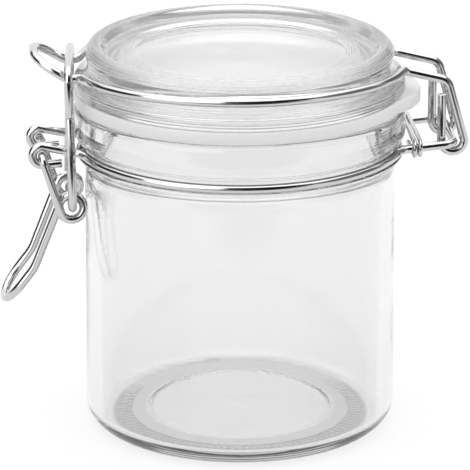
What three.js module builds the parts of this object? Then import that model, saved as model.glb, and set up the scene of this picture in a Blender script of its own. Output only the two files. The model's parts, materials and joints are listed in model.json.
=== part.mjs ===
// Clip top jar: a pressed glass jar and glass lid with a gasket between them, shut by a wire clip.
// Millimetres, +Z up. The jar stands on z = 0, the clip is at -X and the lid's hinge is at +X. The origin is
// the middle of the whole footprint; sizes below are taken from the jar's axis, a little towards the hinge.

import * as THREE from 'three';

// The jar's axis, from the origin
const AXIS_X = 1.8;

// Glass jar: radii and heights
const BODY_R = 35.0;
const BODY_TOP_R = 34.9;
const BODY_FOOT_R = 35.2;
const FOOT_FILLET = 5.4;
const BEARING_R = 25.4;
const BEARING_CHAMFER = 1.0;
const PUNT_R = 20.7;
const PUNT_SLOPE = 2.0;
const PUNT_RISE = 1.8;
const STEP_RISE = 0.6;
const FLOOR_Z = 3.4;
const FLOOR_CROWN = 1.6;
const FLOOR_FILLET = 2.6;
const INNER_R = 31.8;
const MOUTH_R = 31.0;
const MOUTH_CHAMFER = 0.8;
const NECK_TAPER = 4.0;
const FLARE_R = 36.8;
const FLARE_Z = [59.0, 64.4];
const FLARE_LIP = 0.5;
const COLLAR_R = 37.2;
const COLLAR_Z = [67.3, 75.4];
const COLLAR_ROUND = 1.6;
const UNDERCUT_DEGREES = -80;

// Glass lid
const LID_FLANGE_R = 37.1;
const LID_FLANGE_Z = [78.9, 81.3];
const FLANGE_CHAMFER = 0.6;
const FLANGE_ROOT = 2.5;
const LID_SHOULDER_R = 34.35;
const LID_SHOULDER_Z = 84.3;
const LID_RIM_R = 34.45;
const LID_TOP_Z = 88.85;
const LID_RIM_INNER_R = 30.3;
const RIM_ROUND_DEGREES = 150;
const RIM_FOOT = { width: 0.7, rise: 0.2 };
const LID_DISH_R = 24.1;
const LID_DISH_Z = 86.9;
const DISH_STEP = { width: 1.2, drop: 0.3 };
const LID_CENTRE_Z = 86.3;
const PLUG_R = 28.5;
const PLUG_Z = 74.6;
const PLUG_ROUND = 1.5;
const PLUG_LAND = 2.0;
const PLUG_HOLLOW = 0.6;
const LID_UNDERSIDE_Z = 79.2;

// Gasket with its pull tab on the hinge side
const GASKET_R = 37.2;
const GASKET_HOLE_R = 30.6;
const GASKET_Z = [75.65, 78.65];
const TAB_REACH = 40.5;
const TAB_HALF_WIDTH = 13.2;
const TAB_TURN = THREE.MathUtils.degToRad(-5);

// Wire of the clip and hinge, all of one gauge, and the thinner wire of the hinge tie
const WIRE_R = 1.0;
const TIE_R = 0.5;
const WIRE_SIDES = 8;
const TIE_SIDES = 6;
const BEND_STEP = Math.PI / 9;
const RING_STEP = Math.PI / 26;

// Neck ring with two eyes for the lever and a bracket for the hinge
const RING_R = 36.4;
const RING_Z = 65.7;
const EYE = { x: -44.8, y: 7.2, z: 65.5, r: 2.15, tailX: -40.4, tailZ: 63.7 };
const PIN = { x: 47.2, y: 10.5, z: 66.9 };
const BRACKET_BEND = 2.2;
const RING_BEND = 3.2;

// Tie: two turns of thin wire that draw the bracket's arms together next to the neck
const TIE_X = [38.2, 39.4];
const TIE_CLEARANCE = 0.15;
const TIE_BEND = 1.5;

// Lever: a pair of arms with an eyelet each, running down into the handle
const ARM_Y = 9.4;
const ARM_TIP_Y = 5.4;
const ARM_BEND = 1.6;
const EYELET = { x: -38.4, y: 7.2, z: 53.6, r: 2.65 };
const KINK = { x: -47.0, y: 6.8, z: 39.0 };
const KINK_BEND = 9.0;
const HANDLE_END = { x: -53.5, y: 6.8, z: 30.5 };
const HANDLE_BEND = 6.4;

// Bail: a closed frame of wire through both eyelets, with its butt joint in one leg
const BAIL_Y = 11.5;
const BAIL_SKEW = 0.8;
const BAIL_BAR = { x: -38.2, z: 85.8 };
const BAIL_FOOT = { x: -38.3, z: 53.9 };
const BAIL_BEND = 2.4;
const BAIL_JOINT_Z = 75.5;
const BAIL_JOINT_GAP = 0.3;

// Lid wire: a ring round the lid with the catch loop at the clip and two hooks at the hinge
const LID_RING_R = 35.6;
const LID_RING_Z = 84.9;
const LID_RING_BEND = 2.0;
const LID_RING_FLARE = 1.1;
const LID_RING_DROOP = 1.5;
const CATCH_Y = 7.9;
const CATCH_DIP = { x: -38.9, y: 8.1, z: 83.25, bend: 4.0 };
const CATCH_END = { x: -46.1, y: 8.4, z: 87.7, bend: 6.2 };
const HOOK_Y = 7.8;
const HOOK_CORNER = { x: 45.9, z: 80.9, bend: 3.0 };
const HOOK_R = 2.6;
const HOOK_TIP_Z = 77.6;

// Facets of the turned glass, of the gasket and of the rounds
const LATHE_SEGMENTS = 56;
const GASKET_SEGMENTS = 48;
const ARC_STEPS = 5;
const SMALL_ARC_STEPS = 3;
const RIM_STEPS = 6;
const EYE_STEPS = 8;
const EYELET_STEPS = 14;
const HOOK_STEPS = 7;

const GLASS = { color: 0xe9eeec, roughness: 0.05, metalness: 0.0, transparent: true, opacity: 0.35 };
const STEEL = { color: 0xc9cbcc, roughness: 0.15, metalness: 1.0 };
const RUBBER = { color: 0xdcdcd8, roughness: 0.5, metalness: 0.0 };

// A point of a turned profile: distance from the axis and height.
const ring = (radius, height) => new THREE.Vector2(radius, height);

const at = (x, y, z) => new THREE.Vector3(x, y, z);

// Points of a round in a turned profile, from one angle to another about a centre.
function profileArc(centreR, centreZ, radius, fromDegrees, toDegrees, steps = ARC_STEPS) {
  return Array.from({ length: steps + 1 }, (_, i) => {
    const angle = THREE.MathUtils.degToRad(THREE.MathUtils.lerp(fromDegrees, toDegrees, i / steps));
    return ring(centreR + radius * Math.cos(angle), centreZ + radius * Math.sin(angle));
  });
}

// A turned solid with the Z axis as its axis; the profile starts and ends on the axis.
function turned(profile) {
  return new THREE.LatheGeometry(profile, LATHE_SEGMENTS).rotateX(Math.PI / 2);
}

// The wire's centre line, as points that the sweep follows one by one.
class WireRoute extends THREE.Curve {
  constructor(points) {
    super();
    this.points = points;
    this.steps = points.length - 1;
  }

  getPointAt(u, target = new THREE.Vector3()) {
    return target.copy(this.points[Math.round(u * this.steps)]);
  }

  getTangentAt(u, target = new THREE.Vector3()) {
    const i = Math.round(u * this.steps);
    const here = this.points[i];
    const before = this.points[Math.max(i - 1, 0)].clone().sub(here).normalize();
    const after = this.points[Math.min(i + 1, this.steps)].clone().sub(here).normalize();
    return target.copy(after).sub(before).normalize();
  }
}

// A round wire swept along a route, with flat cut ends.
function wire(points, radius = WIRE_R, sides = WIRE_SIDES) {
  const section = new THREE.Shape(Array.from({ length: sides }, (_, i) => {
    const angle = (i / sides) * Math.PI * 2;
    return new THREE.Vector2(radius * Math.cos(angle), radius * Math.sin(angle));
  }));
  const route = new WireRoute(points);
  return new THREE.ExtrudeGeometry(section, { steps: route.steps, extrudePath: route, curveSegments: 1 });
}

// One bend of a given radius at a corner between two straight stretches.
function bend(before, corner, after, radius) {
  const inward = before.clone().sub(corner).normalize();
  const outward = after.clone().sub(corner).normalize();
  const turn = Math.PI - inward.angleTo(outward);
  const setback = radius * Math.tan(turn / 2);
  const start = corner.clone().addScaledVector(inward, setback);
  const middle = inward.clone().add(outward).normalize();
  const centre = corner.clone().addScaledVector(middle, radius / Math.cos(turn / 2));
  const spoke = start.clone().sub(centre);
  const axis = outward.clone().cross(inward).normalize();
  const steps = Math.max(2, Math.ceil(turn / BEND_STEP));
  return Array.from({ length: steps + 1 }, (_, i) =>
    spoke.clone().applyAxisAngle(axis, (turn * i) / steps).add(centre));
}

// A route through corners: each is a point, or a point with the radius of the bend there.
function routed(corners) {
  const points = corners.map((c) => c.point ?? c);
  return corners.flatMap((corner, i) =>
    (corner.radius ? bend(points[i - 1], corner.point, points[i + 1], corner.radius) : [points[i]]));
}

// An arc of ring about the jar's axis, without its two end points. The wire can flare and droop
// towards the clip and the hinge, where it leaves the glass.
function ringArc(radius, height, from, to, flare = 0, droop = 0) {
  const steps = Math.max(2, Math.round(Math.abs(to - from) / RING_STEP));
  return Array.from({ length: steps - 1 }, (_, i) => {
    const angle = from + ((to - from) * (i + 1)) / steps;
    const lean = Math.abs(Math.cos(angle)) ** 3;
    const r = radius + flare * lean;
    return at(r * Math.cos(angle), r * Math.sin(angle), height - droop * lean);
  });
}

// A turn of wire about an axis along Y, from one angle to another, which can also move along that axis.
function wireTurn(centre, radius, from, to, steps, fromY, toY = fromY) {
  return Array.from({ length: steps + 1 }, (_, i) => {
    const angle = THREE.MathUtils.lerp(from, to, i / steps);
    const y = THREE.MathUtils.lerp(fromY, toY, i / steps);
    return at(centre.x + radius * Math.cos(angle), y, centre.z + radius * Math.sin(angle));
  });
}

// The same stretch of wire on the other side of the jar, run backwards.
const mirrored = (points) => points.map((p) => at(p.x, -p.y, p.z)).reverse();

// Where a stretch of wire at a given distance from the middle plane leaves a ring about the axis.
const leavesRing = (radius, y, side) => side * Math.sqrt(radius * radius - y * y);

function jarBody() {
  const footCentreR = BODY_FOOT_R - FOOT_FILLET;
  const collarR = COLLAR_R - COLLAR_ROUND;
  const [collarLow, collarTop] = COLLAR_Z;
  const [flareLow, flareTop] = FLARE_Z;
  const flareOut = FLARE_R - BODY_TOP_R;
  const flareUp = flareTop - FLARE_LIP - flareLow;
  const coveR = (flareUp ** 2 + flareOut ** 2) / (2 * flareOut);
  const coveDegrees = THREE.MathUtils.radToDeg(Math.atan2(flareUp, coveR - flareOut));
  return turned([
    ring(0, PUNT_RISE),
    ring(PUNT_R - PUNT_SLOPE, PUNT_RISE),
    ring(PUNT_R, STEP_RISE),
    ring(BEARING_R - BEARING_CHAMFER, STEP_RISE),
    ring(BEARING_R, 0),
    ...profileArc(footCentreR, FOOT_FILLET, FOOT_FILLET, -90, 0),
    ring(BODY_R, (FOOT_FILLET + collarLow) / 2),
    ...profileArc(BODY_TOP_R + coveR, flareLow, coveR, 180, 180 - coveDegrees, SMALL_ARC_STEPS),
    ring(FLARE_R, flareTop),
    ring(BODY_TOP_R, flareTop),
    ring(BODY_TOP_R, collarLow),
    ...profileArc(collarR, collarLow + COLLAR_ROUND, COLLAR_ROUND, UNDERCUT_DEGREES, 0, SMALL_ARC_STEPS),
    ...profileArc(collarR, collarTop - COLLAR_ROUND, COLLAR_ROUND, 0, 90, SMALL_ARC_STEPS),
    ring(MOUTH_R + MOUTH_CHAMFER, collarTop),
    ring(MOUTH_R, collarTop - MOUTH_CHAMFER),
    ring(MOUTH_R, collarLow),
    ring(INNER_R, collarLow - NECK_TAPER),
    ...profileArc(INNER_R - FLOOR_FILLET, FLOOR_Z + FLOOR_FILLET, FLOOR_FILLET, 0, -90),
    ring(0, FLOOR_Z + FLOOR_CROWN),
  ]);
}

function lidGlass() {
  const rimRound = (LID_RIM_R - LID_RIM_INNER_R) / 2;
  const plugCentreR = PLUG_R - PLUG_ROUND;
  const [flangeLow, flangeTop] = LID_FLANGE_Z;
  return turned([
    ring(0, PLUG_Z + PLUG_HOLLOW),
    ring(plugCentreR - PLUG_LAND, PLUG_Z),
    ...profileArc(plugCentreR, PLUG_Z + PLUG_ROUND, PLUG_ROUND, -90, 0, SMALL_ARC_STEPS),
    ring(PLUG_R, LID_UNDERSIDE_Z),
    ring(PLUG_R + FLANGE_ROOT, flangeLow),
    ring(LID_FLANGE_R - FLANGE_CHAMFER, flangeLow),
    ring(LID_FLANGE_R, flangeLow + FLANGE_CHAMFER),
    ring(LID_FLANGE_R, flangeTop - FLANGE_CHAMFER),
    ring(LID_FLANGE_R - FLANGE_CHAMFER, flangeTop),
    ring(LID_SHOULDER_R, LID_SHOULDER_Z),
    ...profileArc(LID_RIM_R - rimRound, LID_TOP_Z - rimRound, rimRound, 0, RIM_ROUND_DEGREES, RIM_STEPS),
    ring(LID_RIM_INNER_R - RIM_FOOT.width, LID_DISH_Z + RIM_FOOT.rise),
    ring(LID_DISH_R, LID_DISH_Z),
    ring(LID_DISH_R - DISH_STEP.width, LID_DISH_Z - DISH_STEP.drop),
    ring(0, LID_CENTRE_Z),
  ]);
}

function gasket() {
  const chordX = Math.sqrt(GASKET_R ** 2 - TAB_HALF_WIDTH ** 2);
  const rise = TAB_REACH - chordX;
  const tabR = (TAB_HALF_WIDTH ** 2 + rise ** 2) / (2 * rise);
  const tabAngle = Math.atan2(TAB_HALF_WIDTH, TAB_REACH - tabR - chordX);
  const chordAngle = Math.asin(TAB_HALF_WIDTH / GASKET_R);
  const outline = new THREE.Shape();
  outline.absarc(0, 0, GASKET_R, chordAngle, Math.PI * 2 - chordAngle, false);
  outline.absarc(TAB_REACH - tabR, 0, tabR, -(Math.PI - tabAngle), Math.PI - tabAngle, false);
  const hole = new THREE.Path();
  hole.absarc(0, 0, GASKET_HOLE_R, 0, Math.PI * 2, true);
  outline.holes.push(hole);
  const geometry = new THREE.ExtrudeGeometry(outline, {
    depth: GASKET_Z[1] - GASKET_Z[0],
    bevelEnabled: false,
    curveSegments: GASKET_SEGMENTS,
  });
  return geometry.rotateZ(TAB_TURN).translate(0, 0, GASKET_Z[0]);
}

function neckRing() {
  const clipX = leavesRing(RING_R, EYE.y, -1);
  const hingeX = leavesRing(RING_R, PIN.y, 1);
  const clipAngle = Math.PI + Math.asin(EYE.y / RING_R);
  const hingeAngle = Math.PI * 2 - Math.asin(PIN.y / RING_R);
  const half = routed([
    at(EYE.tailX, -EYE.y, EYE.tailZ),
    ...wireTurn(EYE, EYE.r, Math.PI * 1.5, Math.PI * 0.5, EYE_STEPS, -EYE.y),
    { point: at(clipX, -EYE.y, RING_Z), radius: RING_BEND },
    ...ringArc(RING_R, RING_Z, clipAngle, hingeAngle),
    { point: at(hingeX, -PIN.y, RING_Z), radius: RING_BEND },
    { point: at(PIN.x, -PIN.y, PIN.z), radius: BRACKET_BEND },
    at(PIN.x, 0, PIN.z),
  ]);
  return wire([...half.slice(0, -1), ...mirrored(half).slice(1)]);
}

function hingeTie() {
  const reach = WIRE_R + TIE_R + TIE_CLEARANCE;
  const armZ = (x) => {
    const hingeX = leavesRing(RING_R, PIN.y, 1);
    return THREE.MathUtils.mapLinear(x, hingeX, PIN.x, RING_Z, PIN.z);
  };
  const turns = TIE_X.flatMap((x, i) => {
    const under = armZ(x) - reach;
    const over = armZ(x) + reach;
    const nextX = TIE_X[i + 1] ?? x;
    return [
      { point: at(x, -PIN.y - reach, under), radius: TIE_BEND },
      { point: at(x, -PIN.y - reach, over), radius: TIE_BEND },
      { point: at(x, PIN.y + reach, over), radius: TIE_BEND },
      { point: at(nextX, PIN.y + reach, under), radius: TIE_BEND },
    ];
  });
  const [startX, endX] = TIE_X;
  const corners = [at(startX, 0, armZ(startX) - reach), ...turns, at(endX, 0, armZ(endX) - reach)];
  return wire(routed(corners), TIE_R, TIE_SIDES);
}

function lever() {
  const span = Math.hypot(EYELET.x - EYE.x, EYELET.z - EYE.z);
  const sight = Math.atan2(EYELET.z - EYE.z, EYELET.x - EYE.x);
  const enters = sight - Math.asin(EYELET.r / span) + Math.PI * 1.5;
  const drop = Math.atan2(KINK.z - EYELET.z, KINK.x - EYELET.x);
  const kinkSpan = Math.hypot(KINK.x - EYELET.x, KINK.z - EYELET.z);
  const leaves = drop - Math.acos(EYELET.r / kinkSpan) + Math.PI * 4;
  const half = routed([
    at(EYE.x, -ARM_TIP_Y, EYE.z),
    { point: at(EYE.x, -ARM_Y, EYE.z), radius: ARM_BEND },
    ...wireTurn(EYELET, EYELET.r, enters, leaves, EYELET_STEPS, -ARM_Y, -EYELET.y),
    { point: at(KINK.x, -KINK.y, KINK.z), radius: KINK_BEND },
    { point: at(HANDLE_END.x, -HANDLE_END.y, HANDLE_END.z), radius: HANDLE_BEND },
    at(HANDLE_END.x, 0, HANDLE_END.z),
  ]);
  return wire([...half.slice(0, -1), ...mirrored(half).slice(1)]);
}

function bail() {
  const nearX = BAIL_BAR.x - BAIL_SKEW;
  const farX = BAIL_BAR.x + BAIL_SKEW;
  const legX = (z) => THREE.MathUtils.mapLinear(z, BAIL_FOOT.z, BAIL_BAR.z, BAIL_FOOT.x, nearX);
  const jointLow = BAIL_JOINT_Z - BAIL_JOINT_GAP / 2;
  const jointHigh = BAIL_JOINT_Z + BAIL_JOINT_GAP / 2;
  return wire(routed([
    at(legX(jointLow), -BAIL_Y, jointLow),
    { point: at(BAIL_FOOT.x, -BAIL_Y, BAIL_FOOT.z), radius: BAIL_BEND },
    { point: at(BAIL_FOOT.x, BAIL_Y, BAIL_FOOT.z), radius: BAIL_BEND },
    { point: at(farX, BAIL_Y, BAIL_BAR.z), radius: BAIL_BEND },
    { point: at(nearX, -BAIL_Y, BAIL_BAR.z), radius: BAIL_BEND },
    at(legX(jointHigh), -BAIL_Y, jointHigh),
  ]));
}

function lidWire() {
  const leaveR = LID_RING_R + LID_RING_FLARE;
  const leaveZ = LID_RING_Z - LID_RING_DROOP;
  const clipX = leavesRing(leaveR, CATCH_Y, -1);
  const hingeX = leavesRing(leaveR, HOOK_Y, 1);
  const clipAngle = Math.PI + Math.asin(CATCH_Y / leaveR);
  const hingeAngle = Math.PI * 2 - Math.asin(HOOK_Y / leaveR);
  const half = routed([
    at(CATCH_END.x, 0, CATCH_END.z),
    { point: at(CATCH_END.x, -CATCH_END.y, CATCH_END.z), radius: CATCH_END.bend },
    { point: at(CATCH_DIP.x, -CATCH_DIP.y, CATCH_DIP.z), radius: CATCH_DIP.bend },
    { point: at(clipX, -CATCH_Y, leaveZ), radius: LID_RING_BEND },
    ...ringArc(LID_RING_R, LID_RING_Z, clipAngle, hingeAngle, LID_RING_FLARE, LID_RING_DROOP),
    { point: at(hingeX, -HOOK_Y, leaveZ), radius: LID_RING_BEND },
    { point: at(HOOK_CORNER.x, -HOOK_Y, HOOK_CORNER.z), radius: HOOK_CORNER.bend },
    ...wireTurn(PIN, HOOK_R, 0, -Math.PI, HOOK_STEPS, -HOOK_Y),
    at(PIN.x - HOOK_R, -HOOK_Y, HOOK_TIP_Z),
  ]);
  return wire([...mirrored(half).slice(0, -1), ...half.slice(1)]);
}

function piece(name, geometry, finish) {
  const mesh = new THREE.Mesh(geometry, new THREE.MeshStandardMaterial(finish));
  mesh.name = name;
  return mesh;
}

const jar = new THREE.Group();
jar.position.x = AXIS_X;
jar.add(
  piece('jar_body', jarBody(), GLASS),
  piece('lid_glass', lidGlass(), GLASS),
  piece('gasket', gasket(), RUBBER),
  piece('neck_ring', neckRing(), STEEL),
  piece('hinge_tie', hingeTie(), STEEL),
  piece('lever', lever(), STEEL),
  piece('bail', bail(), STEEL),
  piece('lid_wire', lidWire(), STEEL),
);

export default jar;
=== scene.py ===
# %% [markdown]
# # A clip top jar
#
# The real thing is a small jar of pressed glass. Its glass lid sits on a pale gasket and is held by a clip
# and a hinge bent from bright wire. The construction is there already as plain solids, so this lesson loads
# them as a fixed frame and gives each piece its finished surface in the same place. All sizes are in
# millimetres, and MM turns them into the metres of the scene.

# %% Load the frame
import json
import math

import bpy
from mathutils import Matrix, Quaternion, Vector


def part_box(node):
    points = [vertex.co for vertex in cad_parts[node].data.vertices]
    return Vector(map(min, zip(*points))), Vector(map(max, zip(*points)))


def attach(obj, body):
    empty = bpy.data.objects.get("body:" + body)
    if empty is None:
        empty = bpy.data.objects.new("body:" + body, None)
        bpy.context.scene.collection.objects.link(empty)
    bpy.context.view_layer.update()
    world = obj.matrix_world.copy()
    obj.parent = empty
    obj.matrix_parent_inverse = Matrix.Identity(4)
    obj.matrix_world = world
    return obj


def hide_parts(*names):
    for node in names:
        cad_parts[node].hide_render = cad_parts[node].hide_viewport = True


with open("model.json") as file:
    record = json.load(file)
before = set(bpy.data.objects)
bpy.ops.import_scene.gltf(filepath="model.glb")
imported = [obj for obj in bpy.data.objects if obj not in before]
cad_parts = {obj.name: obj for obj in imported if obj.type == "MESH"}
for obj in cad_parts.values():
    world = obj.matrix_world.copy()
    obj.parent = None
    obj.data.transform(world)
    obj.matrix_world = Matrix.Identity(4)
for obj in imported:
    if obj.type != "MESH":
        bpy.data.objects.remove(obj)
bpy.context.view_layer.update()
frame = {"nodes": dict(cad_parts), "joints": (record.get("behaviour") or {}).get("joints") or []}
MM = 0.001


def node_box(node):
    """Lowest and highest corner of a solid, in millimetres."""
    low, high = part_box(node)
    return low / MM, high / MM


jar_low, jar_high = node_box("jar_body")
AXIS = Vector(((jar_low.x + jar_high.x) / 2, 0, 0))
pivot = {joint["name"]: Vector(joint["pos_m"]) / MM - AXIS for joint in frame["joints"]}
print("nodes:", ", ".join(sorted(frame["nodes"])))
print("the jar's axis is at x =", round(AXIS.x, 2))

# %% [markdown]
# ## Camera
#
# The view is a long lens from a little above, turned slightly towards the clip. A camera could be placed by
# eye, but here its place comes from two angles and a distance, and its lens from how many pixels a
# millimetre takes at the jar's axis, so that the jar has its right size in the picture.

# %% Place the camera
PICTURE_PIXELS = 470
PIXELS_PER_MM = 4.407
VIEW_AZIMUTH = math.radians(-5.0)
VIEW_ELEVATION = math.radians(18.3)
VIEW_DISTANCE = 900.0
AIM_HEIGHT = 43.26
AIM_ASIDE = -1.09
SENSOR_WIDTH = 36.0
CLIP_NEAR = 10.0
CLIP_FAR = 50000.0


def towards(azimuth, elevation):
    """Direction from the jar to a place round it: azimuth 0 is at -Y, a quarter turn at +X."""
    flat = math.cos(elevation)
    return Vector((math.sin(azimuth) * flat, -math.cos(azimuth) * flat, math.sin(elevation)))


camera_right = Vector((math.cos(VIEW_AZIMUTH), math.sin(VIEW_AZIMUTH), 0))
aim = AXIS + Vector((0, 0, AIM_HEIGHT)) + camera_right * AIM_ASIDE
camera_back = towards(VIEW_AZIMUTH, VIEW_ELEVATION)
bpy.ops.object.select_all(action="DESELECT")
bpy.ops.object.camera_add(location=(aim + camera_back * VIEW_DISTANCE) * MM)
camera = bpy.context.object
camera.rotation_euler = camera_back.to_track_quat("Z", "Y").to_euler()
camera.data.sensor_width = SENSOR_WIDTH
camera.data.lens = SENSOR_WIDTH * PIXELS_PER_MM * VIEW_DISTANCE / PICTURE_PIXELS
camera.data.clip_start = CLIP_NEAR * MM
camera.data.clip_end = CLIP_FAR * MM
bpy.context.scene.camera = camera
print(f"camera lens {camera.data.lens:.1f} mm")

# %% [markdown]
# ## Floor, light and cards
#
# Clear glass is photographed in a white surround, so that only its edges and the dark cards round it draw
# its form. Lamps would leave hard spots on the wire, so the light is a white sky, brightest overhead, over
# a pale floor that glows a little and so stays as white as the sky. Soft cards stand round the jar where a
# studio is dark or bright. The camera doesn't see them: they show as streaks on the wire, and some of them
# also through the glass.

# %% Helpers for shaders


def set_inputs(node, **values):
    """Sets inputs of a shader node by their names, with an underscore for each blank."""
    for name, value in values.items():
        node.inputs[name.replace("_", " ")].default_value = value


def new_node(owner, kind, **values):
    """A shader node of a material or world, with some of its inputs set."""
    node = owner.node_tree.nodes.new(kind)
    set_inputs(node, **values)
    return node


def link(owner, output, target):
    """Joins two sockets of a material or world."""
    owner.node_tree.links.new(output, target)


def new_material(name, **values):
    """A node material and its Principled shader, with some of the shader's inputs set."""
    material = bpy.data.materials.new(name)
    material.use_nodes = True
    shader = material.node_tree.nodes["Principled BSDF"]
    set_inputs(shader, **values)
    return material, shader


def grey(level):
    """A neutral colour."""
    return (level, level, level, 1.0)


print("shader helpers ready")

# %% White surround
SKY_LIGHT = 1.12
ZENITH_LIGHT = 2.3
BRIGHTENS_FROM = 0.35
LIGHT_BOUNCES = 28
scene = bpy.context.scene
scene.view_settings.view_transform = "Standard"
world = bpy.data.worlds.new("white_surround")
world.use_nodes = True
sky = world.node_tree.nodes["Background"]
sky.inputs["Color"].default_value = grey(1.0)
way_up = new_node(world, "ShaderNodeTexCoord")
split = new_node(world, "ShaderNodeSeparateXYZ")
rise = new_node(
    world,
    "ShaderNodeMapRange",
    From_Min=BRIGHTENS_FROM,
    From_Max=1.0,
    To_Min=SKY_LIGHT,
    To_Max=ZENITH_LIGHT,
)
link(world, way_up.outputs["Generated"], split.inputs["Vector"])
link(world, split.outputs["Z"], rise.inputs["Value"])
link(world, rise.outputs["Result"], sky.inputs["Strength"])
scene.world = world
scene.cycles.max_bounces = LIGHT_BOUNCES
scene.cycles.transmission_bounces = LIGHT_BOUNCES
scene.cycles.glossy_bounces = LIGHT_BOUNCES
print("sky light", SKY_LIGHT)

# %% Pale floor
FLOOR_SIZE = 12000.0
FLOOR_GREY = 0.17
FLOOR_GLOW = 0.78
FLOOR_ROUGHNESS = 0.9
FLOOR_GAP = 0.05
bpy.ops.object.select_all(action="DESELECT")
bpy.ops.mesh.primitive_plane_add(size=FLOOR_SIZE * MM, location=(0, 0, -FLOOR_GAP * MM))
floor = bpy.context.object
floor.name = "floor"
floor_paint, _ = new_material(
    "floor_paint",
    Base_Color=grey(FLOOR_GREY),
    Roughness=FLOOR_ROUGHNESS,
    Specular_IOR_Level=0.0,
    Emission_Color=grey(1.0),
    Emission_Strength=FLOOR_GLOW,
)
floor.data.materials.append(floor_paint)
print("floor", FLOOR_SIZE, "mm wide")

# %% Dark and bright cards
CARD_DISTANCE = 700.0
CARD_BORDER = 0.2


def paint_card(card, level, through):
    """A soft card: its level in the middle fades to that of the sky at its border."""
    paint, shader = new_material(
        card.name + "_paint",
        Base_Color=grey(0.0),
        Specular_IOR_Level=0.0,
        Emission_Color=grey(1.0),
    )
    place = new_node(paint, "ShaderNodeTexCoord")
    fade = new_node(paint, "ShaderNodeTexGradient")
    fade.gradient_type = "SPHERICAL"
    levels = new_node(paint, "ShaderNodeMapRange", From_Max=CARD_BORDER, To_Min=SKY_LIGHT, To_Max=level)
    levels.interpolation_type = "SMOOTHSTEP"
    link(paint, place.outputs["Object"], fade.inputs["Vector"])
    link(paint, fade.outputs["Fac"], levels.inputs["Value"])
    link(paint, levels.outputs["Result"], shader.inputs["Emission Strength"])
    card.data.materials.append(paint)
    card.visible_camera = False
    card.visible_diffuse = False
    card.visible_shadow = False
    card.visible_transmission = through


def hang_card(name, azimuth, elevation, width, height, level, through=False):
    """A flat card that faces the jar. All angles are in degrees, as seen from the jar."""
    place = towards(math.radians(azimuth), math.radians(elevation))
    bpy.ops.object.select_all(action="DESELECT")
    bpy.ops.mesh.primitive_plane_add(size=2.0, location=place * CARD_DISTANCE * MM)
    card = bpy.context.object
    card.name = name
    card.rotation_euler = place.to_track_quat("Z", "Y").to_euler()
    half_width = CARD_DISTANCE * math.tan(math.radians(width / 2))
    half_height = CARD_DISTANCE * math.tan(math.radians(height / 2))
    card.scale = (half_width * MM, half_height * MM, 1.0)
    paint_card(card, level, through)
    print(name, "hung at azimuth", azimuth)


hang_card("card_front_low", azimuth=12, elevation=27, width=76, height=60, level=0.0)
hang_card("card_left", azimuth=-101, elevation=18, width=70, height=44, level=0.02, through=True)
hang_card("card_right", azimuth=85, elevation=22, width=84, height=52, level=0.2, through=True)
hang_card("softbox_left", azimuth=-46, elevation=30, width=60, height=66, level=2.2)
hang_card("flag_back_left", azimuth=-135, elevation=20, width=44, height=36, level=0.1, through=True)
hang_card("flag_back_right", azimuth=130, elevation=20, width=44, height=36, level=0.15, through=True)

# %% Dark edge of the table
EDGE_NEAR = -160.0
EDGE_FAR = -900.0
EDGE_HALF_WIDTH = 420.0
EDGE_HEIGHT = 0.5
edge_middle = (EDGE_NEAR + EDGE_FAR) / 2
bpy.ops.object.select_all(action="DESELECT")
bpy.ops.mesh.primitive_plane_add(size=2.0, location=(0, edge_middle * MM, EDGE_HEIGHT * MM))
table_edge = bpy.context.object
table_edge.name = "table_edge"
table_edge.scale = (EDGE_HALF_WIDTH * MM, (EDGE_NEAR - EDGE_FAR) / 2 * MM, 1.0)
paint_card(table_edge, level=0.0, through=True)
print("table edge at y =", EDGE_NEAR)

# %% [markdown]
# ## Lines and rounds
#
# Every piece of this jar starts from a line: the glass is a profile turned about the jar's axis, and each
# wire is a route that is given thickness. A line can be drawn by hand by extruding one vertex from point to
# point. Rounds are worked out from a centre and a radius, so that an outline keeps only the sizes that a
# maker would name.

# %% Draw a line by extruding a vertex
RIB_PITCH = 0.62


def start_line(name):
    """A new mesh of one vertex on the jar's axis, left in edit mode."""
    bpy.ops.object.select_all(action="DESELECT")
    bpy.ops.mesh.primitive_plane_add(size=MM, location=(0, 0, 0))
    piece = bpy.context.object
    piece.name = name
    bpy.ops.object.mode_set(mode="EDIT")
    bpy.ops.mesh.merge(type="CENTER")
    bpy.ops.transform.translate(value=AXIS * MM)
    return piece


def draw_line(points):
    """Moves the selected vertex to the first point and extrudes it through the others."""
    bpy.ops.transform.translate(value=points[0] * MM)
    for here, there in zip(points, points[1:]):
        bpy.ops.mesh.extrude_region_move(TRANSFORM_OT_translate={"value": (there - here) * MM})


def profile_arc(centre, radius, start, stop, steps=8):
    """Points of a round in a turned profile: centre is (radius, height), the angles are in degrees."""
    points = []
    for step in range(steps + 1):
        angle = math.radians(start + (stop - start) * step / steps)
        points.append((centre[0] + radius * math.cos(angle), centre[1] + radius * math.sin(angle)))
    return points


def profile_run(start, stop, steps=6):
    """Points of a straight stretch of profile, without its two ends."""
    (start_r, start_z), (stop_r, stop_z) = start, stop
    points = []
    for step in range(1, steps):
        share = step / steps
        points.append((start_r + (stop_r - start_r) * share, start_z + (stop_z - start_z) * share))
    return points


def ribbed(points, height):
    """Presses fine ribs into a stretch of profile, outwards from the axis."""
    line = []
    run = 0.0
    for i, (radius, level) in enumerate(points):
        if i:
            run += math.dist(points[i - 1], points[i])
        line.append((radius + height * math.sin(math.tau * run / RIB_PITCH), level))
    return line


print("line tools ready")

# %% [markdown]
# ## Turned and pressed glass
#
# Jar and lid come out of a mould, so they are round, with thick walls and soft waves in their surface. A
# profile of the whole wall, inside and outside, is spun about the axis. That makes one closed skin of
# glass, which light needs for bending in and out. The waves are clouds stretched round the jar, pressed
# into the mesh itself.

# %% Spin a profile and press waves into it
SPIN_STEPS = 210
MERGE_GAP = 0.002
EDGE_ANGLE = math.radians(32)


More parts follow.
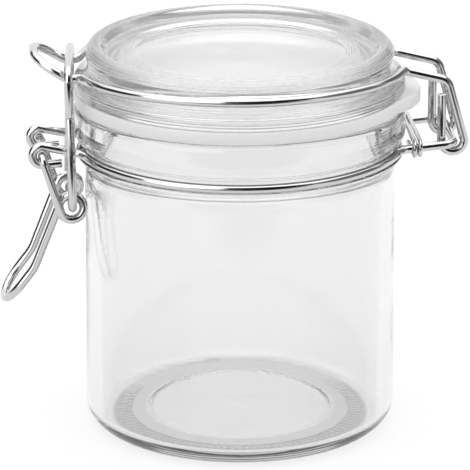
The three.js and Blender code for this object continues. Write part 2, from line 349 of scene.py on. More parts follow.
def pick(piece):
    """Makes one piece the only selected one, and the active one."""
    bpy.ops.object.select_all(action="DESELECT")
    piece.select_set(True)
    bpy.context.view_layer.objects.active = piece


def apply_modifier(piece, kind, **settings):
    """Adds a modifier, sets it and applies it."""
    pick(piece)
    bpy.ops.object.modifier_add(type=kind)
    modifier = piece.modifiers[-1]
    for name, value in settings.items():
        setattr(modifier, name, value)
    bpy.ops.object.modifier_apply(modifier=modifier.name)


def turn_glass(name, profile):
    """A closed turned solid; the profile starts and ends on the axis."""
    piece = start_line(name)
    draw_line([Vector((radius, 0, height)) for radius, height in profile])
    bpy.ops.mesh.select_all(action="SELECT")
    bpy.ops.mesh.spin(steps=SPIN_STEPS, angle=math.tau, center=AXIS * MM, axis=(0, 0, 1))
    bpy.ops.mesh.select_all(action="SELECT")
    bpy.ops.mesh.remove_doubles(threshold=MERGE_GAP * MM)
    bpy.ops.mesh.normals_make_consistent(inside=False)
    bpy.ops.object.mode_set(mode="OBJECT")
    bpy.ops.object.shade_smooth_by_angle(angle=EDGE_ANGLE)
    print(name, "has", len(piece.data.polygons), "faces")
    return piece


def press_waves(piece, depth, grain):
    """Soft waves in the glass: clouds stretched to a grain on each axis, pressed along the normals."""
    bpy.ops.object.select_all(action="DESELECT")
    bpy.ops.object.empty_add(location=(0, 0, 0))
    stretch = bpy.context.object
    stretch.scale = Vector(grain) * MM
    clouds = bpy.data.textures.new(piece.name + "_waves", "CLOUDS")
    clouds.noise_scale = 1.0
    clouds.noise_depth = 1
    apply_modifier(
        piece,
        "DISPLACE",
        texture=clouds,
        texture_coords="OBJECT",
        texture_coords_object=stretch,
        strength=depth * MM,
        mid_level=0.5,
    )
    bpy.data.objects.remove(stretch)
    print(piece.name, "has waves", depth, "mm deep")


print("glass tools ready")

# %% [markdown]
# ## Jar
#
# The jar has a rounded foot, a recess under the base, straight walls, a flared lip under the neck ring and
# a thick collar under the gasket. It could be a cylinder with a wall modifier, but collar, mouth and base
# are all of different thickness, so the profile goes right round the wall: from the middle of the recess up
# the outside, over the mouth and down the inside.

# %% Jar profile
COLLAR_R = jar_high.x - AXIS.x
COLLAR_TOP = jar_high.z
COLLAR_LOW = 67.3
COLLAR_ROUND = 1.6
BODY_R = 35.0
BODY_TOP_R = 34.9
FOOT_R = 35.2
FOOT_FILLET = 5.4
BEARING_R = 25.0
BEARING_SLOPE = 2.6
NOTCH_R = 27.6
PUNT_R = 21.6
PUNT_TOP = 1.6
PUNT_ROUND = 2.6
PUNT_SLOPE = 25.0
STEP_RISE = 0.45
INNER_R = 31.8
MOUTH_R = 31.0
MOUTH_ROUND = 0.8
MOUTH_RIB = 0.01
NECK_TAPER = 4.0
NECK_ROUND = 0.5
FLARE_R = 36.8
FLARE_LOW = 59.0
FLARE_TOP = 64.4
LIP_ROUND = 0.4
COVE_INSET = 0.1
COVE_DROP = 0.6
FLOOR_Z = 3.3
FLOOR_TOP = 4.9
FLOOR_FILLET = 1.3
JAR_WAVES = [(0.10, (46.0, 46.0, 15.0)), (0.02, (9.0, 9.0, 1.4))]

foot_r = FOOT_R - FOOT_FILLET
collar_r = COLLAR_R - COLLAR_ROUND
punt_reach = PUNT_ROUND * math.sin(math.radians(PUNT_SLOPE))
punt_shoulder = STEP_RISE + 2 * PUNT_ROUND * (1 - math.cos(math.radians(PUNT_SLOPE)))
shoulder_r = PUNT_R - 2 * punt_reach
belly = (BODY_R, (FOOT_FILLET + COLLAR_LOW) / 2)

# The cove under the lip is an arc that leaves the wall upright and ends just inside and below the lip's edge.
cove_out = FLARE_R - COVE_INSET - BODY_TOP_R
cove_up = FLARE_TOP - COVE_DROP - FLARE_LOW
cove_r = (cove_up**2 + cove_out**2) / (2 * cove_out)
cove_sweep = math.degrees(math.atan2(cove_up, cove_r - cove_out))

neck_inside = (INNER_R, COLLAR_LOW - NECK_TAPER)
mouth_side = profile_run((MOUTH_R, COLLAR_TOP - MOUTH_ROUND), (MOUTH_R, COLLAR_LOW), 40)
mouth_taper = profile_run((MOUTH_R, COLLAR_LOW), neck_inside, 26)
jar_profile = [
    (0, PUNT_TOP),
    *profile_run((0, PUNT_TOP), (shoulder_r, punt_shoulder)),
    *profile_arc((shoulder_r, punt_shoulder - PUNT_ROUND), PUNT_ROUND, 90, 90 - PUNT_SLOPE, 6),
    *profile_arc((PUNT_R, STEP_RISE + PUNT_ROUND), PUNT_ROUND, 270 - PUNT_SLOPE, 270, 6),
    (BEARING_R - BEARING_SLOPE, STEP_RISE),
    (BEARING_R, 0),
    (NOTCH_R, 0),
    *profile_arc((foot_r, FOOT_FILLET), FOOT_FILLET, -90, 0, 14),
    *profile_run((FOOT_R, FOOT_FILLET), belly, 8),
    belly,
    *profile_run(belly, (BODY_TOP_R, FLARE_LOW), 8),
    *profile_arc((BODY_TOP_R + cove_r, FLARE_LOW), cove_r, 180, 180 - cove_sweep, 10),
    *profile_arc((FLARE_R - LIP_ROUND, FLARE_TOP - LIP_ROUND), LIP_ROUND, -cove_sweep, 90, 5),
    (BODY_TOP_R, FLARE_TOP),
    (BODY_TOP_R, COLLAR_LOW - NECK_ROUND),
    *profile_arc((BODY_TOP_R + NECK_ROUND, COLLAR_LOW - NECK_ROUND), NECK_ROUND, 180, 90, 4),
    *profile_arc((collar_r, COLLAR_LOW + COLLAR_ROUND), COLLAR_ROUND, -90, 0),
    *profile_arc((collar_r, COLLAR_TOP - COLLAR_ROUND), COLLAR_ROUND, 0, 90),
    *profile_arc((MOUTH_R + MOUTH_ROUND, COLLAR_TOP - MOUTH_ROUND), MOUTH_ROUND, 90, 180),
    *ribbed(mouth_side, MOUTH_RIB),
    (MOUTH_R, COLLAR_LOW),
    *ribbed(mouth_taper, MOUTH_RIB),
    neck_inside,
    *profile_run(neck_inside, (INNER_R, FLOOR_Z + FLOOR_FILLET), 14),
    *profile_arc((INNER_R - FLOOR_FILLET, FLOOR_Z + FLOOR_FILLET), FLOOR_FILLET, 0, -90, 12),
    *profile_run((INNER_R - FLOOR_FILLET, FLOOR_Z), (0, FLOOR_TOP), 12),
    (0, FLOOR_TOP),
]
jar = turn_glass("jar", jar_profile)
for depth, grain in JAR_WAVES:
    press_waves(jar, depth, grain)

# %% [markdown]
# ## Foot of the jar
#
# The ring that the jar stands on has short radial notches from the mould, and they show through the glass
# as ticks. The waves have moved the ring off the table, so it is first made flat again, with its back a hair
# higher, so that it takes less of the painted shade that the glass shader puts on the ring. Then every other
# face of the ring is pressed in, all but at the back. A texture could draw the ticks, but real notches also
# catch the light; the painted shade, lighter in the notches, draws them as well.

# %% Flat foot with notches
NOTCH_RISE = 0.1
BACK_Y = 5.0
BACK_TILT = math.radians(0.4)
FLAT_GAP = 0.06


def clear_selection(mesh):
    """Deselects every corner, edge and face of a mesh in object mode."""
    for parts in (mesh.vertices, mesh.edges, mesh.polygons):
        parts.foreach_set("select", [False] * len(parts))


def flatten_foot(piece):
    """Brings the ring that the jar stands on back to the level of the table, and its back a hair above it."""
    clear_selection(piece.data)
    for corner in piece.data.vertices:
        corner.select = corner.co.z < FLAT_GAP * MM
    pick(piece)
    bpy.ops.object.mode_set(mode="EDIT")
    bpy.ops.transform.resize(value=(1, 1, 0), center_override=(0, 0, 0))
    bpy.ops.object.mode_set(mode="OBJECT")
    back = [corner for corner in piece.data.vertices if corner.select and corner.co.y > BACK_Y * MM]
    clear_selection(piece.data)
    for corner in back:
        corner.select = True
    bpy.ops.object.mode_set(mode="EDIT")
    tilt_line = (0, BACK_Y * MM, 0)
    bpy.ops.transform.rotate(value=-BACK_TILT, orient_axis="X", center_override=tilt_line)
    bpy.ops.object.mode_set(mode="OBJECT")
    levels = [corner.co.z / MM for corner in piece.data.vertices if corner.select]
    print("the back of the ring rises to", max(levels), "and falls to", min(levels))


def notch_bearing_ring(piece):
    """Presses every other face of the ring that the jar stands on a little way up, all but at the back."""
    clear_selection(piece.data)
    step = math.tau / SPIN_STEPS
    count = 0
    for face in piece.data.polygons:
        spot = face.center / MM - AXIS
        turn = math.floor(math.atan2(spot.y, spot.x) / step)
        on_ring = abs(spot.z) < FLAT_GAP and BEARING_R < spot.xy.length < NOTCH_R
        face.select = on_ring and turn % 2 == 0
        count += face.select
    pick(piece)
    bpy.context.tool_settings.mesh_select_mode = (False, False, True)
    bpy.ops.object.mode_set(mode="EDIT")
    bpy.ops.mesh.extrude_region_move(TRANSFORM_OT_translate={"value": (0, 0, NOTCH_RISE * MM)})
    bpy.ops.object.mode_set(mode="OBJECT")
    bpy.context.tool_settings.mesh_select_mode = (True, False, False)
    bpy.ops.object.shade_smooth_by_angle(angle=EDGE_ANGLE)
    print("notched faces:", count)


flatten_foot(jar)
notch_bearing_ring(jar)

# %% [markdown]
# ## Lid
#
# The lid is one thick piece of glass: a plug that drops into the mouth, a flange that sits on the gasket, a
# shoulder that the lid wire grips and a raised rim round a shallow dish with fine rings at its edge. It is
# spun like the jar, from one closed profile that starts in the middle of the underside. Flange, shoulder
# and rim have fine ribs.

# %% Lid profile
lid_low, lid_high = node_box("lid_glass")
FLANGE_R = lid_high.x - AXIS.x
LID_TOP = lid_high.z
PLUG_Z = lid_low.z
PLUG_HOLLOW = 0.6
PLUG_LAND = 2.0
PLUG_R = 28.5
PLUG_ROUND = 1.5
FLANGE_LOW = 78.7
FLANGE_TOP = 80.7
FLANGE_ROUND = 0.4
FLANGE_TOP_ROUND = 1.2
FLANGE_RIB = 0.025
SHOULDER_R = 34.35
SHOULDER_Z = 84.3
SHOULDER_ROUND = 3.0
RIM_R = 34.45
RIM_INNER_R = 30.3
RIM_FOOT_ROUND = 0.7
RIM_RIB = 0.05
DISH_R = 24.1
DISH_Z = 86.9
DISH_EDGE = 0.2
DISH_CENTRE_Z = 86.3
DISH_RING_WIDTH = 2.4
DISH_RING_PITCH = 0.6
DISH_RING_HEIGHT = 0.04
DISH_RING_STEPS = 32
LID_WAVES = [(0.09, (30.0, 30.0, 4.0)), (0.015, (26.0, 26.0, 0.9))]

dish_rings = []
for step in range(DISH_RING_STEPS + 1):
    run = DISH_RING_WIDTH * step / DISH_RING_STEPS
    swell = DISH_RING_HEIGHT * math.sin(math.tau * run / DISH_RING_PITCH)
    dish_rings.append((DISH_R + DISH_RING_WIDTH - run, DISH_Z + swell))
plug_middle = (0, PLUG_Z + PLUG_HOLLOW)
plug_round_r = PLUG_R - PLUG_ROUND
plug_land = (plug_round_r - PLUG_LAND, PLUG_Z)
flange_side = profile_run((FLANGE_R, FLANGE_LOW + FLANGE_ROUND), (FLANGE_R, FLANGE_TOP), 12)
shoulder_cove = profile_arc((SHOULDER_R + SHOULDER_ROUND, SHOULDER_Z), SHOULDER_ROUND, 230, 180, 20)
rim_round = (RIM_R - RIM_INNER_R) / 2
rim_middle = (RIM_R - rim_round, LID_TOP - rim_round)
dish_outer = (RIM_INNER_R - RIM_FOOT_ROUND, DISH_Z + RIM_FOOT_ROUND)
dish_step_r = DISH_R - 2 * DISH_EDGE
lid_profile = [
    plug_middle,
    *profile_run(plug_middle, plug_land, 10),
    plug_land,
    *profile_arc((plug_round_r, PLUG_Z + PLUG_ROUND), PLUG_ROUND, -90, 0),
    *profile_arc((PLUG_R + FLANGE_ROUND, FLANGE_LOW - FLANGE_ROUND), FLANGE_ROUND, 180, 90, 5),
    *profile_arc((FLANGE_R - FLANGE_ROUND, FLANGE_LOW + FLANGE_ROUND), FLANGE_ROUND, -90, 0, 5),
    *ribbed(flange_side, FLANGE_RIB),
    *profile_arc((FLANGE_R - FLANGE_TOP_ROUND, FLANGE_TOP), FLANGE_TOP_ROUND, 0, 40, 5),
    *ribbed(shoulder_cove, FLANGE_RIB),
    *profile_run((SHOULDER_R, SHOULDER_Z), (RIM_R, LID_TOP - rim_round), 9),
    *ribbed(profile_arc(rim_middle, rim_round, 0, 70, 40), RIM_RIB),
    *profile_arc(rim_middle, rim_round, 75, 130, 8),
    *profile_arc(dish_outer, RIM_FOOT_ROUND, -50, -85, 5),
    *profile_run((dish_outer[0], DISH_Z), (DISH_R + DISH_RING_WIDTH, DISH_Z), 4),
    *dish_rings,
    *profile_arc((DISH_R, DISH_Z - DISH_EDGE), DISH_EDGE, 90, 160, 4),
    *profile_arc((dish_step_r, DISH_Z - DISH_EDGE), DISH_EDGE, -20, -90, 4),
    *profile_run((dish_step_r, DISH_Z - 2 * DISH_EDGE), (0, DISH_CENTRE_Z), 10),
    (0, DISH_CENTRE_Z),
]
lid = turn_glass("lid", lid_profile)
for depth, grain in LID_WAVES:
    press_waves(lid, depth, grain)

# %% [markdown]
# ## Gasket
#
# The gasket is a flat ring of pale rubber with a tab for pulling it off. Two closed lines of as many
# points, the hole and the outside with its tab, are bridged to a flat ring. Modifiers then give it its
# thickness and its soft edges.

# %% Gasket ring
gasket_low, gasket_high = node_box("gasket")
GASKET_THICKNESS = gasket_high.z - gasket_low.z
GASKET_R = 37.2
GASKET_HOLE_R = 30.6
TAB_REACH = 40.5
TAB_HALF_WIDTH = 13.2
TAB_TURN = math.radians(-5)
GASKET_POINTS = 240
GASKET_EDGE = 0.4
GASKET_CORNER = math.radians(50)


def tab_outline(angle):
    """Distance of the gasket's outer edge from the axis: a circle, and a flatter arc across the tab."""
    chord = math.sqrt(GASKET_R**2 - TAB_HALF_WIDTH**2)
    rise = TAB_REACH - chord
    arc_r = (TAB_HALF_WIDTH**2 + rise**2) / (2 * rise)
    centre = TAB_REACH - arc_r
    if math.cos(angle) < chord / GASKET_R:
        return GASKET_R
    return centre * math.cos(angle) + math.sqrt(arc_r**2 - (centre * math.sin(angle)) ** 2)


def closed_line(name, radius_at):
    """A closed line at the gasket's underside, with its radius worked out for each angle."""
    piece = start_line(name)
    points = []
    for step in range(GASKET_POINTS + 1):
        angle = math.tau * step / GASKET_POINTS
        radius = radius_at(angle - TAB_TURN)
        points.append(Vector((radius * math.cos(angle), radius * math.sin(angle), gasket_low.z)))
    draw_line(points)
    bpy.ops.mesh.select_all(action="SELECT")
    bpy.ops.mesh.remove_doubles(threshold=MERGE_GAP * MM)
    bpy.ops.object.mode_set(mode="OBJECT")
    return piece


def round_edges(piece, width, sharper_than):
    """Rounds those edges of a piece that are sharper than an angle."""
    apply_modifier(
        piece,
        "BEVEL",
        width=width * MM,
        segments=3,
        limit_method="ANGLE",
        angle_limit=sharper_than,
    )


hole_line = closed_line("gasket_hole", lambda angle: GASKET_HOLE_R)
gasket = closed_line("gasket_ring", tab_outline)
hole_line.select_set(True)
bpy.ops.object.join()
bpy.ops.object.mode_set(mode="EDIT")
bpy.ops.mesh.select_all(action="SELECT")
bpy.ops.mesh.bridge_edge_loops()
bpy.ops.mesh.select_all(action="SELECT")
bpy.ops.mesh.normals_make_consistent(inside=False)
bpy.ops.object.mode_set(mode="OBJECT")
if gasket.data.polygons[0].normal.z < 0:
    gasket.data.flip_normals()
apply_modifier(gasket, "SOLIDIFY", thickness=GASKET_THICKNESS * MM, offset=1.0)
round_edges(gasket, GASKET_EDGE, GASKET_CORNER)
bpy.ops.object.shade_smooth_by_angle(angle=EDGE_ANGLE)
print("gasket has", len(gasket.data.polygons), "faces, z from", gasket_low.z)

# %% [markdown]
# ## Wire
#
# Clip and hinge are bent from straight wire, so each piece is a route: straight stretches, and bends of a
# small radius at the corners. The route could be a curve with handles, but a bend of a known radius is an
# arc, so it is worked out as one. The line is then turned into a curve, given its thickness and made a
# mesh, with its cut ends slightly rounded.

# %% Bend a wire
WIRE_R = 1.0
WIRE_ROUNDNESS = 7
BEND_STEP = math.radians(7)
FEWEST_STEPS = 3
RING_STEP = math.radians(2.5)
CUT_EDGE = 0.22
CUT_CORNER = math.radians(60)
WIRE_EDGE_ANGLE = math.radians(50)
LEAN_POWER = 3


def at(x, y, z):
    """A point from the jar's axis, in millimetres."""
    return Vector((x, y, z))


def bend(before, corner, after, radius):
    """Points of a bend of that radius at the corner between two straight stretches."""
    inward = (before - corner).normalized()
    outward = (after - corner).normalized()
    turn = math.pi - inward.angle(outward)
    start = corner + inward * radius * math.tan(turn / 2)
    centre = corner + (inward + outward).normalized() * radius / math.cos(turn / 2)
    axis = outward.cross(inward).normalized()
    steps = max(FEWEST_STEPS, math.ceil(turn / BEND_STEP))
    turns = [Quaternion(axis, turn * step / steps) for step in range(steps + 1)]
    return [centre + turned @ (start - centre) for turned in turns]


def route(corners):
    """A route through corners: each is a point, or a point and the radius of the bend there."""
    points = [corner[0] if isinstance(corner, tuple) else corner for corner in corners]
    line = []
    for i, corner in enumerate(corners):
        if isinstance(corner, tuple):
            line += bend(points[i - 1], points[i], points[i + 1], corner[1])
        else:
            line.append(corner)
    return line


def ring_arc(radius, height, start, stop, flare=0.0, droop=0.0):
    """Ring about the axis, without its ends. It can flare and droop where it leaves the glass."""
    steps = round(abs(stop - start) / RING_STEP)
    line = []
    for step in range(1, steps):
        angle = start + (stop - start) * step / steps
        lean = abs(math.cos(angle)) ** LEAN_POWER
        reach = radius + flare * lean
        line.append(at(reach * math.cos(angle), reach * math.sin(angle), height - droop * lean))
    return line


def wire_turn(centre, radius, start, stop, from_y, to_y):
    """A turn of wire about an axis along Y, which can also move along that axis."""
    steps = math.ceil(abs(stop - start) / BEND_STEP)
    line = []
    for step in range(steps + 1):
        share = step / steps
        angle = start + (stop - start) * share
        y = from_y + (to_y - from_y) * share
        line.append(at(centre.x + radius * math.cos(angle), y, centre.z + radius * math.sin(angle)))
    return line


def both_sides(half):
    """A route from one end to the middle plane, and on to the other end as its mirror image."""
    return half[:-1] + [at(p.x, -p.y, p.z) for p in reversed(half)]


def make_wire(name, line, radius=WIRE_R):
    """Turns a route into a round wire with slightly rounded cut ends."""
    piece = start_line(name)
    draw_line(line)
    bpy.ops.object.mode_set(mode="OBJECT")
    bpy.ops.object.convert(target="CURVE")
    piece = bpy.context.object
    piece.data.bevel_depth = radius * MM
    piece.data.bevel_resolution = WIRE_ROUNDNESS
    piece.data.use_fill_caps = True
    bpy.ops.object.convert(target="MESH")
    piece = bpy.context.object
    bpy.ops.object.mode_set(mode="EDIT")
    bpy.ops.mesh.select_all(action="SELECT")
    bpy.ops.mesh.remove_doubles(threshold=MERGE_GAP * MM)
    bpy.ops.mesh.normals_make_consistent(inside=False)
    bpy.ops.object.mode_set(mode="OBJECT")
    round_edges(piece, CUT_EDGE * radius, CUT_CORNER)
    bpy.ops.object.shade_smooth_by_angle(angle=WIRE_EDGE_ANGLE)
    print(name, "has", len(piece.data.polygons), "faces")
    return piece


print("wire tools ready")

# %% [markdown]
# ## Neck ring
#
# One wire runs round the neck under the collar. On the clip's side its ends are bent into two eyes that the
# lever turns in, and on the hinge's side it stands out as a bracket whose cross bar is the hinge pin.

# %% Neck ring
RING_R = 36.4
RING_Z = 65.7
RING_BEND = 3.2
EYE = pivot["lever_pivot"]
EYE_Y = 7.2
EYE_R = 2.15
EYE_TAIL = (-40.4, 63.7)
PIN = pivot["lid_hinge"]
PIN_Y = 10.5
BRACKET_BEND = 2.2


def leaves_ring(radius, y):
    """How far from the middle of a ring a stretch at y leaves it."""
    return math.sqrt(radius**2 - y**2)


bracket_x = leaves_ring(RING_R, PIN_Y)
neck_line = route([
    at(EYE_TAIL[0], -EYE_Y, EYE_TAIL[1]),
    *wire_turn(EYE, EYE_R, math.pi * 1.5, math.pi * 0.5, -EYE_Y, -EYE_Y),
    (at(-leaves_ring(RING_R, EYE_Y), -EYE_Y, RING_Z), RING_BEND),
    *ring_arc(RING_R, RING_Z, math.pi + math.asin(EYE_Y / RING_R), math.tau - math.asin(PIN_Y / RING_R)),
    (at(bracket_x, -PIN_Y, RING_Z), RING_BEND),
    (at(PIN.x, -PIN_Y, PIN.z), BRACKET_BEND),
    at(PIN.x, 0, PIN.z),
])
neck_ring = make_wire("neck_ring_wire", both_sides(neck_line))

# %% [markdown]
# ## Hinge tie
#
# A thin wire is wound twice round both arms of the bracket, close to the neck, and draws the ring tight.

# %% Hinge tie
TIE_R = 0.5
TIE_X = (38.2, 39.4)
TIE_CLEARANCE = 0.15
TIE_BEND = 1.5
tie_reach = WIRE_R + TIE_R + TIE_CLEARANCE
tie_y = PIN_Y + tie_reach


def arm_height(x):
    """Height of the bracket's arms, which rise a little from the ring to the pin."""
    return RING_Z + (PIN.z - RING_Z) * (x - bracket_x) / (PIN.x - bracket_x)


tie_corners = [at(TIE_X[0], 0, arm_height(TIE_X[0]) - tie_reach)]
for x, next_x in zip(TIE_X, (TIE_X[1], TIE_X[1])):
    under = arm_height(x) - tie_reach
    over = arm_height(x) + tie_reach
    tie_corners += [
        (at(x, -tie_y, under), TIE_BEND),
        (at(x, -tie_y, over), TIE_BEND),
        (at(x, tie_y, over), TIE_BEND),
        (at(next_x, tie_y, under), TIE_BEND),
    ]
tie_corners.append(at(TIE_X[1], 0, arm_height(TIE_X[1]) - tie_reach))
hinge_tie = make_wire("hinge_tie_wire", route(tie_corners), TIE_R)

# %% [markdown]
# ## Lever
#
# The lever turns in the eyes of the neck ring. Each arm runs down to an eyelet, a full turn of wire that
# holds the bail, and on into the handle, which is one loop of wire bent away from the jar.

# %% Lever
ARM_Y = 9.4
ARM_TIP_Y = 5.4
ARM_BEND = 1.6
EYELET = at(-38.4, 0, 53.6)
EYELET_Y = 7.2
EYELET_R = 2.65
KINK = at(-47.0, -6.8, 39.0)
KINK_BEND = 9.0
HANDLE_END = at(-53.5, -6.8, 30.5)
HANDLE_BEND = 6.4

to_eyelet = EYELET - EYE
to_kink = KINK - EYELET
enters = math.atan2(to_eyelet.z, to_eyelet.x) - math.asin(EYELET_R / math.hypot(to_eyelet.x, to_eyelet.z))
leaves = math.atan2(to_kink.z, to_kink.x) - math.acos(EYELET_R / math.hypot(to_kink.x, to_kink.z))
lever_line = route([
    at(EYE.x, -ARM_TIP_Y, EYE.z),
    (at(EYE.x, -ARM_Y, EYE.z), ARM_BEND),
    *wire_turn(EYELET, EYELET_R, enters + math.pi * 1.5, leaves + math.tau * 2, -ARM_Y, -EYELET_Y),
    (KINK, KINK_BEND),
    (HANDLE_END, HANDLE_BEND),
    at(HANDLE_END.x, 0, HANDLE_END.z),
])
lever = make_wire("lever_wire", both_sides(lever_line))

# %% [markdown]
# ## Bail
#
# The bail is a closed frame of wire through both eyelets. Its upper bar lies over the catch loop and pulls
# the lid down. The two ends of the wire meet in a butt joint in the near leg, which stays open by a hair.

# %% Bail
BAIL_Y = 11.5
BAIL_SKEW = 0.8
BAIL_BAR = at(-38.2, 0, 85.8)
BAIL_FOOT = pivot["bail_pivot"]
BAIL_BEND = 2.4
BAIL_JOINT_Z = 75.5
BAIL_JOINT_GAP = 0.3
bail_near_x = BAIL_BAR.x - BAIL_SKEW
bail_far_x = BAIL_BAR.x + BAIL_SKEW


def near_leg(z):
    """A point of the bail's near leg."""
    share = (z - BAIL_FOOT.z) / (BAIL_BAR.z - BAIL_FOOT.z)
    return at(BAIL_FOOT.x + (bail_near_x - BAIL_FOOT.x) * share, -BAIL_Y, z)


bail = make_wire("bail_wire", route([
    near_leg(BAIL_JOINT_Z - BAIL_JOINT_GAP / 2),
    (near_leg(BAIL_FOOT.z), BAIL_BEND),
    (at(BAIL_FOOT.x, BAIL_Y, BAIL_FOOT.z), BAIL_BEND),
    (at(bail_far_x, BAIL_Y, BAIL_BAR.z), BAIL_BEND),
    (near_leg(BAIL_BAR.z), BAIL_BEND),
    near_leg(BAIL_JOINT_Z + BAIL_JOINT_GAP / 2),
]))

# %% [markdown]
# ## Lid wire
#
# The lid wire grips the lid's shoulder. At the clip it leaves the glass as the catch loop, and at the hinge
# its two ends run out, turn down and hook round the pin from below.

# %% Lid wire
LID_RING_R = 35.6
LID_RING_Z = 84.9
LID_RING_BEND = 2.0
LID_RING_FLARE = 1.1
LID_RING_DROOP = 1.5
CATCH_Y = 7.9
CATCH_DIP = at(-38.9, -8.1, 83.25)
CATCH_DIP_BEND = 4.0
CATCH_END = at(-46.1, -8.4, 87.7)
CATCH_BEND = 6.2
HOOK_Y = 7.8
HOOK_CORNER = at(45.9, -HOOK_Y, 80.9)
HOOK_CORNER_BEND = 3.0
HOOK_R = 2.6
HOOK_TIP_Z = 77.6

leave_r = LID_RING_R + LID_RING_FLARE
leave_z = LID_RING_Z - LID_RING_DROOP
catch_angle = math.pi + math.asin(CATCH_Y / leave_r)
hook_angle = math.tau - math.asin(HOOK_Y / leave_r)
lid_line = route([
    at(PIN.x - HOOK_R, -HOOK_Y, HOOK_TIP_Z),
    *wire_turn(PIN, HOOK_R, -math.pi, 0, -HOOK_Y, -HOOK_Y),
    (HOOK_CORNER, HOOK_CORNER_BEND),
    (at(leaves_ring(leave_r, HOOK_Y), -HOOK_Y, leave_z), LID_RING_BEND),
    *ring_arc(LID_RING_R, LID_RING_Z, hook_angle, catch_angle, LID_RING_FLARE, LID_RING_DROOP),
    (at(-leaves_ring(leave_r, CATCH_Y), -CATCH_Y, leave_z), LID_RING_BEND),
    (CATCH_DIP, CATCH_DIP_BEND),
    (CATCH_END, CATCH_BEND),
    at(CATCH_END.x, 0, CATCH_END.z),
])
lid_wire = make_wire("lid_wire_ring", both_sides(lid_line))

# %% [markdown]
# ## Clear glass
#
# The glass is colourless, and darkens only a little with each wall that light goes through. A plain glass
# shader would be too perfect, so a faint bump of streaks that run round the jar stands for the finest marks
# of the mould. The lid's glass takes away less, because light goes a long way through so thick a piece.

# %% Clear glass
GLASS_TINT = (0.924, 0.926, 0.924, 1.0)
GLASS_DEPTH_TINT = (0.9, 0.903, 0.9, 1.0)
JAR_DENSITY = 90.0
LID_DENSITY = 15.0
GLASS_IOR = 1.5
STREAK_SCALE = (22.0, 22.0, 420.0)
STREAK_HEIGHT = 0.02


def add_bump(material, shader, scale, detail, strength, distance):
    """A noise bump in Object coordinates. The scale is in features a metre on each axis."""
    place = new_node(material, "ShaderNodeTexCoord")
    stretch = new_node(material, "ShaderNodeMapping", Scale=scale)
    noise = new_node(material, "ShaderNodeTexNoise", Scale=1.0, Detail=detail)
    bump = new_node(material, "ShaderNodeBump", Strength=strength, Distance=distance * MM)
    link(material, place.outputs["Object"], stretch.inputs["Vector"])
    link(material, stretch.outputs["Vector"], noise.inputs["Vector"])
    link(material, noise.outputs["Fac"], bump.inputs["Height"])
    link(material, bump.outputs["Normal"], shader.inputs["Normal"])
    return noise


def clear_glass(name, density):
    """Clear glass that darkens with depth, and its shader."""
    material, shader = new_material(
        name,
        Base_Color=GLASS_TINT,
        Roughness=0.0,
        IOR=GLASS_IOR,
        Transmission_Weight=1.0,
    )
    add_bump(material, shader, STREAK_SCALE, detail=2.0, strength=1.0, distance=STREAK_HEIGHT)
    depth = new_node(material, "ShaderNodeVolumeAbsorption", Color=GLASS_DEPTH_TINT, Density=density)
    output = material.node_tree.nodes["Material Output"]
    link(material, depth.outputs["Volume"], output.inputs["Volume"])
    return material, shader


jar_glass, jar_shader = clear_glass("jar_glass", JAR_DENSITY)
lid_glass, lid_shader = clear_glass("lid_glass", LID_DENSITY)
print("clear glass, index", GLASS_IOR)

# %% [markdown]
# ## Pressed underside and painted shade on the ring
#
# The press leaves the underside of the lid slightly matt, so that the jar under it looks blurred. The ring
# that the jar stands on is painted a darker grey, as painted shade for the shade beneath the jar's foot, and
# its notches get less of it. Neither is a piece of its own, so the shader finds each by its place: the
# underside by its height, the ring by its distance from the axis and its notches by their depth.

# %% Pressed underside of the lid
UNDERSIDE_ROUGHNESS = 0.3
UNDERSIDE_RISE = 0.8
UNDERSIDE_FADE = 0.1
place = new_node(lid_glass, "ShaderNodeTexCoord")
height = new_node(lid_glass, "ShaderNodeSeparateXYZ")
under = new_node(
    lid_glass,
    "ShaderNodeMapRange",
    From_Min=(PLUG_Z + UNDERSIDE_RISE + UNDERSIDE_FADE) * MM,
    From_Max=(PLUG_Z + UNDERSIDE_RISE - UNDERSIDE_FADE) * MM,
    To_Max=UNDERSIDE_ROUGHNESS,
)
link(lid_glass, place.outputs["Object"], height.inputs["Vector"])
link(lid_glass, height.outputs["Z"], under.inputs["Value"])
link(lid_glass, under.outputs["Result"], lid_shader.inputs["Roughness"])
print("underside roughness", UNDERSIDE_ROUGHNESS)

# %% Painted shade on the ring under the jar
# Painted shade: the glass on the ring under the jar gets a darker grey colour in place of the shade beneath
# its foot, and the notches get less of it.
FOOT_SHADE_COLOUR = (0.26, 0.262, 0.26, 1.0)
FOOT_SHADE_IN_NOTCH = 0.56
FOOT_SHADE_DEPTH = (0.02, 0.08)
FOOT_SHADE_R = 25.4
FOOT_SHADE_HALF_WIDTH = 4.6
FOOT_SHADE_FADE = 1.4
FOOT_SHADE_TOP = 2.0

# The mix node's sockets for numbers and colours share their names, so those for colours go by their place.
MIX_FROM, MIX_TO, MIX_RESULT = 6, 7, 2


def maths(material, operation, *values):
    """The result of a maths node. Each value is a number or the output of another node."""
    node = new_node(material, "ShaderNodeMath")
    node.operation = operation
    for socket, value in zip(node.inputs, values):
        if isinstance(value, float):
            socket.default_value = value
        else:
            link(material, value, socket)
    return node.outputs["Value"]


place = new_node(jar_glass, "ShaderNodeTexCoord")
flat = new_node(jar_glass, "ShaderNodeMapping", Location=-AXIS * MM, Scale=(1, 1, 0))
radius = new_node(jar_glass, "ShaderNodeVectorMath")
radius.operation = "LENGTH"
height = new_node(jar_glass, "ShaderNodeSeparateXYZ")
link(jar_glass, place.outputs["Object"], flat.inputs["Vector"])
link(jar_glass, flat.outputs["Vector"], radius.inputs[0])
link(jar_glass, place.outputs["Object"], height.inputs["Vector"])

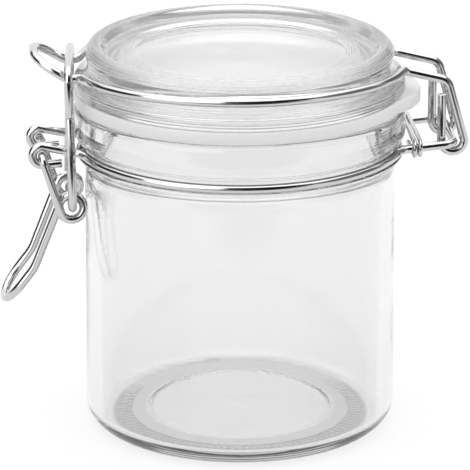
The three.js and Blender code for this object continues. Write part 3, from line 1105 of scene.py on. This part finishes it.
shade_band = new_node(
    jar_glass,
    "ShaderNodeMapRange",
    From_Min=FOOT_SHADE_HALF_WIDTH * MM,
    From_Max=(FOOT_SHADE_HALF_WIDTH - FOOT_SHADE_FADE) * MM,
)
shade_band.interpolation_type = "SMOOTHSTEP"
off_ring = maths(jar_glass, "SUBTRACT", radius.outputs["Value"], FOOT_SHADE_R * MM)
link(jar_glass, maths(jar_glass, "ABSOLUTE", off_ring), shade_band.inputs["Value"])

shaded = new_node(
    jar_glass,
    "ShaderNodeMapRange",
    From_Min=FOOT_SHADE_DEPTH[0] * MM,
    From_Max=FOOT_SHADE_DEPTH[1] * MM,
    To_Min=1.0,
    To_Max=FOOT_SHADE_IN_NOTCH,
)
link(jar_glass, height.outputs["Z"], shaded.inputs["Value"])

# The painted shade is strongest on the ring, fades towards its edges, lies only on glass near the table and
# is lighter where the glass stands higher: in the notches and at the back.
below = maths(jar_glass, "LESS_THAN", height.outputs["Z"], FOOT_SHADE_TOP * MM)
outside = maths(jar_glass, "MULTIPLY", shade_band.outputs["Result"], below)
painted_shade = maths(jar_glass, "MULTIPLY", outside, shaded.outputs["Result"])
shade_tint = new_node(jar_glass, "ShaderNodeMix")
shade_tint.data_type = "RGBA"
shade_tint.inputs[MIX_FROM].default_value = GLASS_TINT
shade_tint.inputs[MIX_TO].default_value = FOOT_SHADE_COLOUR
link(jar_glass, painted_shade, shade_tint.inputs["Factor"])
link(jar_glass, shade_tint.outputs[MIX_RESULT], jar_shader.inputs["Base Color"])
print("worn ring at", FOOT_SHADE_R, "mm from the axis")

# %% [markdown]
# ## Bright wire and pale rubber
#
# The wire is plated steel, bright but not a mirror: drawing it through a die leaves faint marks that spread
# the highlights. The gasket is pale rubber that lets some light in, with a soft satin skin.

# %% Bright wire
WIRE_COLOUR = (0.58, 0.58, 0.585, 1.0)
WIRE_ROUGHNESS = (0.08, 0.2)
WIRE_MARKS = (900.0, 900.0, 900.0)
bright_wire, wire_shader = new_material("bright_wire", Base_Color=WIRE_COLOUR, Metallic=1.0)
wire_marks = add_bump(bright_wire, wire_shader, WIRE_MARKS, detail=3.0, strength=0.25, distance=0.01)
wear = new_node(bright_wire, "ShaderNodeMapRange", To_Min=WIRE_ROUGHNESS[0], To_Max=WIRE_ROUGHNESS[1])
link(bright_wire, wire_marks.outputs["Fac"], wear.inputs["Value"])
link(bright_wire, wear.outputs["Result"], wire_shader.inputs["Roughness"])
print("bright wire, roughness", WIRE_ROUGHNESS)

# %% Pale rubber
RUBBER_COLOUR = (0.77, 0.77, 0.762, 1.0)
RUBBER_GRAIN = (1500.0, 1500.0, 1500.0)
pale_rubber, rubber_shader = new_material(
    "pale_rubber",
    Base_Color=RUBBER_COLOUR,
    Roughness=0.45,
    IOR=1.4,
    Transmission_Weight=0.3,
)
add_bump(pale_rubber, rubber_shader, RUBBER_GRAIN, detail=2.0, strength=0.15, distance=0.02)
print("pale rubber, colour", RUBBER_COLOUR[:3])

# %% [markdown]
# ## Fitting the pieces to the frame
#
# Each piece stands for one solid of the frame, takes its finish and moves with one body: the jar stays, the
# lid turns on the pin, the lever in the eyes and the bail in the eyelets.

# %% Ride, replace and give each piece its finish


def fit(piece, finish, body, node):
    """Gives a piece its finish and lets it stand for a solid of the frame."""
    piece.data.materials.clear()
    piece.data.materials.append(finish)
    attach(piece, body)
    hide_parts(node)
    print(piece.name, "stands for", node)


fit(jar, jar_glass, "jar", "jar_body")
fit(lid, lid_glass, "lid", "lid_glass")
fit(gasket, pale_rubber, "lid", "gasket")
fit(neck_ring, bright_wire, "jar", "neck_ring")
fit(hinge_tie, bright_wire, "jar", "hinge_tie")
fit(lever, bright_wire, "lever", "lever")
fit(bail, bright_wire, "bail", "bail")
fit(lid_wire, bright_wire, "lid", "lid_wire")
